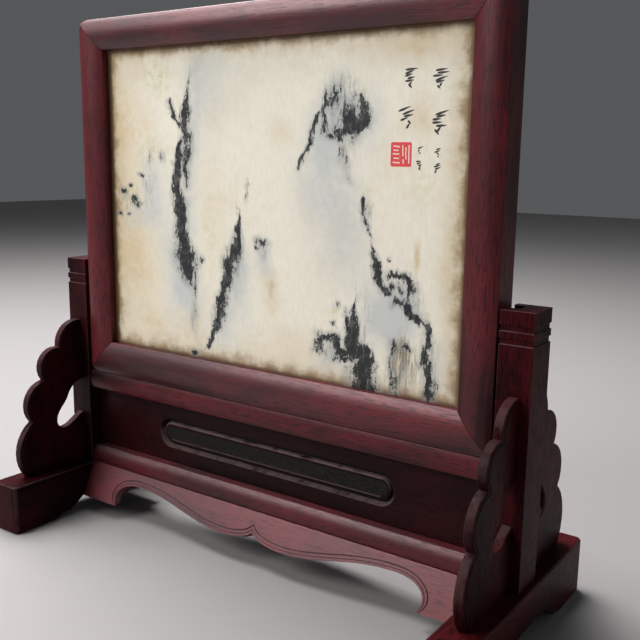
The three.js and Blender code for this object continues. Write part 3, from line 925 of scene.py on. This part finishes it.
class TABLE_SCREEN_OT_stand(bpy.types.Operator):
    """Model the feet, posts and rails of the stand"""

    bl_idname = "table_screen.stand"
    bl_label = "Feet, Posts and Rails"

    def execute(self, context):
        # Grain's axis, depth of colour (low on the posts and the left foot as painted shade), gloss, shift
        # of the figure in millimetres and edge radius
        pieces = {
            "left_foot": (1, 0.24, 0.12, 7.0, 0.5 * MM),
            "right_foot": (1, 0.60, 0.15, 19.0, 0.5 * MM),
            "left_post": (2, 0.32, 0.20, 29.0, 0.4 * MM),
            "right_post": (2, 0.36, 0.12, 37.0, 0.4 * MM),
            "upper_rail": (0, 0.72, 0.75, 53.0, 0.6 * MM),
            "lower_rail": (0, 0.60, 1.00, 61.0, 0.5 * MM),
        }
        for node, (grain, depth, gloss, shift, radius) in pieces.items():
            piece = merged_copy(node, node + "_wood_body")
            ease_edges(piece, lambda edge: radius)
            smooth(piece)
            # Paling paints a highlight on upward-facing edges, strongest on the posts
            paling = 0.7 if "post" in node else 0.3
            settle(piece, rosewood(node + "_wood", grain, depth, gloss, shift, paling), node)
        return {"FINISHED"}


class TABLE_SCREEN_OT_boards(bpy.types.Operator):
    """Model the waist panel and the aprons"""

    bl_idname = "table_screen.boards"
    bl_label = "Waist Panel and Aprons"

    def execute(self, context):
        wood = settings("screen_wood")
        lean = math.radians(APRON_LEAN)
        slope = Vector((0, -math.cos(lean), math.sin(lean)))
        apron_cuts = [(slope, slope.dot(APRON_TOP) - GROUND_START)]
        panel_cuts = [(Vector((0, -1, 0)), RESERVE_START)]
        # Grain's axis, depth of colour (very low on the waist panel as painted shade), gloss, shift of the
        # figure, paling as painted highlight, axis of a board's rims and cuts that paint shade in grooves
        # and the sunk floor
        pieces = {
            "waist_panel": (0, 0.16, 0.30, 67.0, 0.9, 1, panel_cuts),
            "front_apron": (0, 0.80, 2.20, 71.0, 0.0, None, apron_cuts),
            "rear_apron": (0, 0.80, 1.60, 73.0, 0.0, None, ()),
        }
        for node, (grain, depth, gloss, shift, paling, board, cuts) in pieces.items():
            piece = merged_copy(node, node + "_board")
            ease_edges(piece, lambda edge: wood.fine_edge, CUT_EDGE)
            smooth(piece, CUT_EDGE)
            settle(piece, rosewood(node + "_wood", grain, depth, gloss, shift, paling, board, cuts), node)
        return {"FINISHED"}


class TABLE_SCREEN_OT_spandrels(bpy.types.Operator):
    """Model the lobed spandrels with rounded rims"""

    bl_idname = "table_screen.spandrels"
    bl_label = "Spandrels"

    def execute(self, context):
        wood = settings("screen_wood")
        # Depth of colour (lower on the left spandrels as painted shade), gloss, shift of the figure and
        # paling as painted highlight on the rims
        pieces = {
            "front_left_spandrel": (0.22, 0.12, 79.0, 0.22),
            "front_right_spandrel": (0.40, 0.10, 83.0, 0.22),
            "rear_left_spandrel": (0.26, 0.12, 89.0, 0.25),
            "rear_right_spandrel": (0.46, 0.12, 97.0, 0.25),
        }
        for node, (depth, gloss, shift, paling) in pieces.items():
            low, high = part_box(node)
            piece = merged_copy(node, node + "_board")
            joint_y = min(low[1], high[1], key=abs)

            def width(edge):
                jointed = all(min(v.co.z - low[2], abs(v.co.y - joint_y)) < TOUCHING for v in edge.verts)
                crosswise = abs(direction(edge).x) > 0.5
                on_rim = max(thickness(face) for face in edge.link_faces) >= RIM_FACE
                return wood.rim if on_rim and not (jointed or crosswise) else wood.fine_edge

            ease_edges(piece, width, CUT_EDGE)
            smooth(piece, CUT_EDGE)
            right, left = Vector((1, 0, 0)), Vector((-1, 0, 0))
            # Painted shade in the grooves cut into both faces
            cuts = [(right, high[0] / MM - GROUND_START), (left, -low[0] / MM - GROUND_START)]
            settle(piece, rosewood(node + "_wood", 2, depth, gloss, shift, paling, 0, cuts), node)
        return {"FINISHED"}


# Inscription: middles of its marks in millimetres (x, z), their size and how many strokes each has
MARKS = [
    (121.0, 311.5, 10.5, 7),
    (121.0, 288.5, 12.0, 7),
    (102.5, 312.5, 10.5, 7),
    (101.0, 291.5, 11.0, 6),
    (120.6, 272.5, 5.2, 4),
    (120.6, 264.2, 5.6, 5),
    (109.8, 273.6, 4.6, 3),
    (109.6, 265.6, 5.2, 5),
]
INSCRIPTION_SEED = 5
# How far the marks stand off the slab's face
MARK_HEIGHT = 0.06 * MM
# Corners of the seal in millimetres (x, z), and the radius of its round corners
SEAL_LOW = (91.2, 264.6)
SEAL_HIGH = (104.6, 278.0)
SEAL_CORNER = 0.9 * MM
# Pale bars of the seal from its middle: (x, z) of both ends and the half width
SEAL_BARS = [
    (-5.0, 4.6, -1.2, 4.2, 0.5),
    (-4.6, 2.4, -2.0, 2.2, 0.55),
    (-5.0, 0.2, -1.4, 0.2, 0.5),
    (-4.4, -2.0, -1.6, -2.2, 0.55),
    (-5.0, -4.4, -1.0, -4.6, 0.55),
    (1.0, 4.8, 1.2, -0.6, 0.5),
    (3.0, 3.6, 3.2, -2.4, 0.5),
    (5.0, 4.8, 5.0, -4.6, 0.5),
    (1.4, -3.0, 1.6, -4.8, 0.6),
]


class TABLE_SCREEN_OT_marks(bpy.types.Operator):
    """Model the inscription's strokes and the seal mark"""

    bl_idname = "table_screen.marks"
    bl_label = "Inscription and Seal"

    def execute(self, context):
        look = settings("screen_marble")
        strokes = []
        master = brush_stroke()
        chance = random.Random(INSCRIPTION_SEED)
        for x, z, size, count in MARKS:
            for i in range(count):
                place = Vector((x, 0, z + size * (0.5 - (i + 0.5) / count)))
                place.x += chance.uniform(-0.16, 0.16) * size
                slanted = i >= count - 2
                length = size * (chance.uniform(0.22, 0.36) if slanted else chance.uniform(0.45, 0.8))
                tilt = (0.9, -0.8)[i % 2] if slanted else chance.uniform(-0.28, 0.02)
                width = 0.34 + size * 0.042
                strokes.append(placed_copy(master, place, length, width, tilt))
        bpy.data.objects.remove(master)
        clear_selection()
        for stroke in strokes:
            stroke.select_set(True)
        bpy.context.view_layer.objects.active = strokes[0]
        bpy.ops.object.join()
        bpy.ops.object.transform_apply(location=True, rotation=True, scale=True)
        marks = bpy.context.object
        marks.name = "inscription_strokes"
        settle(marks, dried_ink("inscription_ink", look.ink))
        seal = seal_mark()
        settle(seal, seal_red("seal_red", look))
        return {"FINISHED"}


def slab_face():
    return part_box("marble_slab")[0][1]


def brush_stroke():
    """One stroke, a unit long along X, thick at its start and pointed at its end."""
    clear_selection()
    bpy.ops.mesh.primitive_circle_add(
        vertices=20, radius=0.5, fill_type="NGON", location=(0, 0, 0), rotation=(math.pi / 2, 0, 0)
    )
    stroke = bpy.context.object
    bpy.ops.object.transform_apply(location=True, rotation=True, scale=True)
    for vertex in stroke.data.vertices:
        taper = 0.5 + 0.5 * math.cos((vertex.co.x + 0.5) * math.pi * 0.86)
        vertex.co.z = vertex.co.z * (0.35 + 0.65 * taper) + 0.10 * math.sin(vertex.co.x * 3.0)
    return stroke


def placed_copy(master, place, length, width, tilt):
    """Copy of the stroke on the slab's face, sized in millimetres and tilted in radians."""
    copy = bpy.data.objects.new("stroke", master.data.copy())
    bpy.context.scene.collection.objects.link(copy)
    turn = Matrix.Rotation(tilt, 4, "Y")
    scale = Matrix.Diagonal((length * MM, 1.0, width * MM * 2, 1.0))
    shift = Matrix.Translation((place.x * MM, slab_face() - MARK_HEIGHT, place.z * MM))
    copy.data.transform(shift @ turn @ scale)
    return copy


def seal_mark():
    """Thin square with rounded corners on the slab's face."""
    clear_selection()
    x0, z0 = (c * MM for c in SEAL_LOW)
    x1, z1 = (c * MM for c in SEAL_HIGH)
    bpy.ops.mesh.primitive_cube_add(size=1, location=((x0 + x1) / 2, slab_face(), (z0 + z1) / 2))
    seal = bpy.context.object
    seal.name = "seal_mark"
    seal.scale = (x1 - x0, 2 * MARK_HEIGHT, z1 - z0)
    bpy.ops.object.transform_apply(location=True, rotation=True, scale=True)
    ease_edges(seal, lambda edge: SEAL_CORNER if abs(direction(edge).y) > 0.9 else 0.0, CUT_EDGE)
    return seal


def dried_ink(name, colour):
    """Black ink that has dried unevenly."""
    shader = Shader(name)
    dry = shader.noise(shader.millimetres(), size=0.7, detail=3.0, roughness=0.6)
    tone = shader.mix(dry.step(0.45, 0.75) * 0.5, colour, [c + 0.10 for c in colour])
    return shader.finish(Base_Color=tone, Roughness=0.45 + dry * 0.2)


def seal_red(name, look):
    """Worn red with pale bars cut through it."""
    shader = Shader(name)
    x = (SEAL_LOW[0] + SEAL_HIGH[0]) / 2
    z = (SEAL_LOW[1] + SEAL_HIGH[1]) / 2
    centred = shader.vector("SUBTRACT", shader.millimetres(), (x, 0, z))
    crooked = warped(shader, shader.vector("MULTIPLY", centred, (1, 0, 1)), size=2.2, reach=0.35)
    cut = bars(shader, crooked, SEAL_BARS).step(0.1, 0.5)
    paling = shader.noise(crooked, size=1.5, detail=4.0, roughness=0.7).step(0.56, 0.72)
    colour = shader.mix((cut * 0.85 + paling * 0.3).clamp(), look.seal, look.ground)
    return shader.finish(Base_Color=colour, Roughness=0.42)


# Stage

FLOOR_SIZE = 8.0
# Lights: place and aim in metres, side of the square, watts and colour
LIGHTS = {
    "overhead_softbox": ((-0.65, 0.15, 1.45), (0.0, 0.0, 0.15), 1.15, 58.0, (1.0, 0.95, 0.96)),
    "front_left_key": ((-0.9, -1.35, 1.25), (0.0, 0.0, 0.2), 0.9, 27.0, (1.0, 0.98, 0.95)),
    "right_fill": ((1.5, -0.4, 0.8), (0.0, 0.0, 0.15), 0.8, 0.8, (0.96, 0.97, 1.0)),
}
AIR_COLOUR = (0.72, 0.74, 0.77)
AIR_STRENGTH = 0.13
# Camera: its place in metres, the way it looks, its roll in degrees and its frame's shift
CAMERA_PLACE = (0.3416, -0.4209, 0.2677)
CAMERA_FORWARD = Vector((-0.5542, 0.8108, -0.1886)).normalized()
CAMERA_ROLL = 0.98
CAMERA_SHIFT = (-0.0268, 0.0039)
SENSOR_WIDTH = 36.0


class TABLE_SCREEN_OT_stage(bpy.types.Operator):
    """Set up the floor, the light and the camera"""

    bl_idname = "table_screen.stage"
    bl_label = "Stage"

    def execute(self, context):
        look = settings("screen_stage")
        clear_selection()
        bpy.ops.mesh.primitive_plane_add(size=FLOOR_SIZE, location=(0, 0, 0))
        floor = context.object
        floor.name = "floor"
        shader = Shader("pale_floor")
        speckle = shader.noise(shader.millimetres(), size=3.0, detail=3.0)
        colour = shader.mix(speckle * 0.06, look.floor, [c * 0.8 for c in look.floor])
        floor.data.materials.append(shader.finish(Base_Color=colour, Roughness=0.8))
        for name, values in LIGHTS.items():
            area_light(name, *values)
        world = context.scene.world or bpy.data.worlds.new("studio")
        context.scene.world = world
        world.use_nodes = True
        air = world.node_tree.nodes["Background"]
        air.inputs["Color"].default_value = rgba(AIR_COLOUR)
        air.inputs["Strength"].default_value = AIR_STRENGTH
        context.scene.view_settings.view_transform = "Standard"
        camera_at(look.focal)
        return {"FINISHED"}


def area_light(name, place, target, size, power, colour):
    data = bpy.data.lights.new(name, "AREA")
    data.shape = "SQUARE"
    data.size = size
    data.energy = power
    data.color = colour
    lamp = bpy.data.objects.new(name, data)
    bpy.context.scene.collection.objects.link(lamp)
    lamp.location = place
    lamp.rotation_euler = (Vector(target) - Vector(place)).to_track_quat("-Z", "Y").to_euler()


def camera_at(focal):
    """Camera from the photograph's side, a little above the screen's middle."""
    data = bpy.data.cameras.new("camera")
    data.sensor_width = SENSOR_WIDTH
    data.lens = focal
    data.shift_x, data.shift_y = CAMERA_SHIFT
    camera = bpy.data.objects.new("camera", data)
    bpy.context.scene.collection.objects.link(camera)
    level = CAMERA_FORWARD.cross(Vector((0, 0, 1))).normalized()
    upright = level.cross(CAMERA_FORWARD)
    roll = math.radians(CAMERA_ROLL)
    right = math.cos(roll) * level + math.sin(roll) * upright
    up = right.cross(CAMERA_FORWARD)
    turn = Matrix((right, up, -CAMERA_FORWARD)).transposed().to_4x4()
    camera.matrix_world = Matrix.Translation(CAMERA_PLACE) @ turn
    bpy.context.scene.camera = camera


class TABLE_SCREEN_PT_panel(bpy.types.Panel):
    """Steps and values of the table screen"""

    bl_idname = "TABLE_SCREEN_PT_panel"
    bl_label = "Table Screen"
    bl_space_type = "VIEW_3D"
    bl_region_type = "UI"
    bl_category = "Table Screen"

    def draw(self, context):
        for step in STEPS:
            self.layout.operator(step.bl_idname)
        for name, group in GROUPS.items():
            box = self.layout.box()
            for key in group.__annotations__:
                box.prop(getattr(context.scene, name), key)


STEPS = (
    TABLE_SCREEN_OT_slab,
    TABLE_SCREEN_OT_frame,
    TABLE_SCREEN_OT_stand,
    TABLE_SCREEN_OT_boards,
    TABLE_SCREEN_OT_spandrels,
    TABLE_SCREEN_OT_marks,
    TABLE_SCREEN_OT_stage,
)


def register():
    for group in GROUPS.values():
        bpy.utils.register_class(group)
    for name, group in GROUPS.items():
        setattr(bpy.types.Scene, name, bpy.props.PointerProperty(type=group))
    for step in STEPS:
        bpy.utils.register_class(step)
    bpy.utils.register_class(TABLE_SCREEN_PT_panel)


def unregister():
    bpy.utils.unregister_class(TABLE_SCREEN_PT_panel)
    for step in reversed(STEPS):
        bpy.utils.unregister_class(step)
    for name in GROUPS:
        delattr(bpy.types.Scene, name)
    for group in reversed(GROUPS.values()):
        bpy.utils.unregister_class(group)


def main():
    register()
    for step in STEPS:
        area, name = step.bl_idname.split(".")
        getattr(getattr(bpy.ops, area), name)()


if __name__ == "__main__":
    main()
